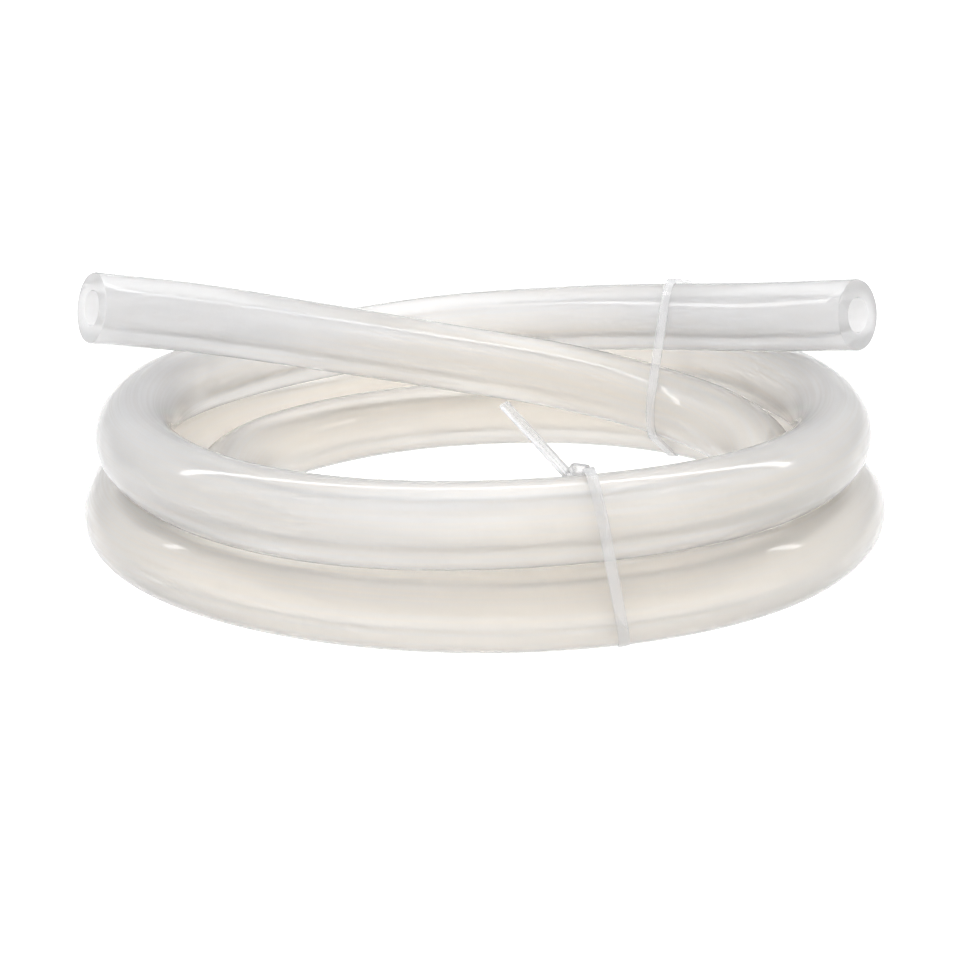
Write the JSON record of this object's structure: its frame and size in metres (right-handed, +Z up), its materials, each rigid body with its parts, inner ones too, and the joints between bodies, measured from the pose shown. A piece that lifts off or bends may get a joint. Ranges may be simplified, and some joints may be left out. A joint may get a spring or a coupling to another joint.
{
  "type": "silicone tubing coil",
  "caption": "Hank of clear thick-walled silicone tubing, wound in flat turns with both free ends lifted on top, held by two small cable ties.",
  "frame": {"origin": "on the surface that the hank lies on, under the middle of its bounding box", "axes": "+Z up, +X to the viewer's right, -Y towards the viewer, who sees the two free ends crossing at the back"},
  "size_m": [0.2154, 0.2196, 0.0632],
  "materials": {
    "silicone": "milky clear cured silicone, smooth, slightly tacky",
    "tie_nylon": "natural clear nylon, moulded"
  },
  "bodies": {
    "root": {"silicone_tube": "silicone", "front_tie": "tie_nylon", "back_tie": "tie_nylon"}
  },
  "joints": []
}
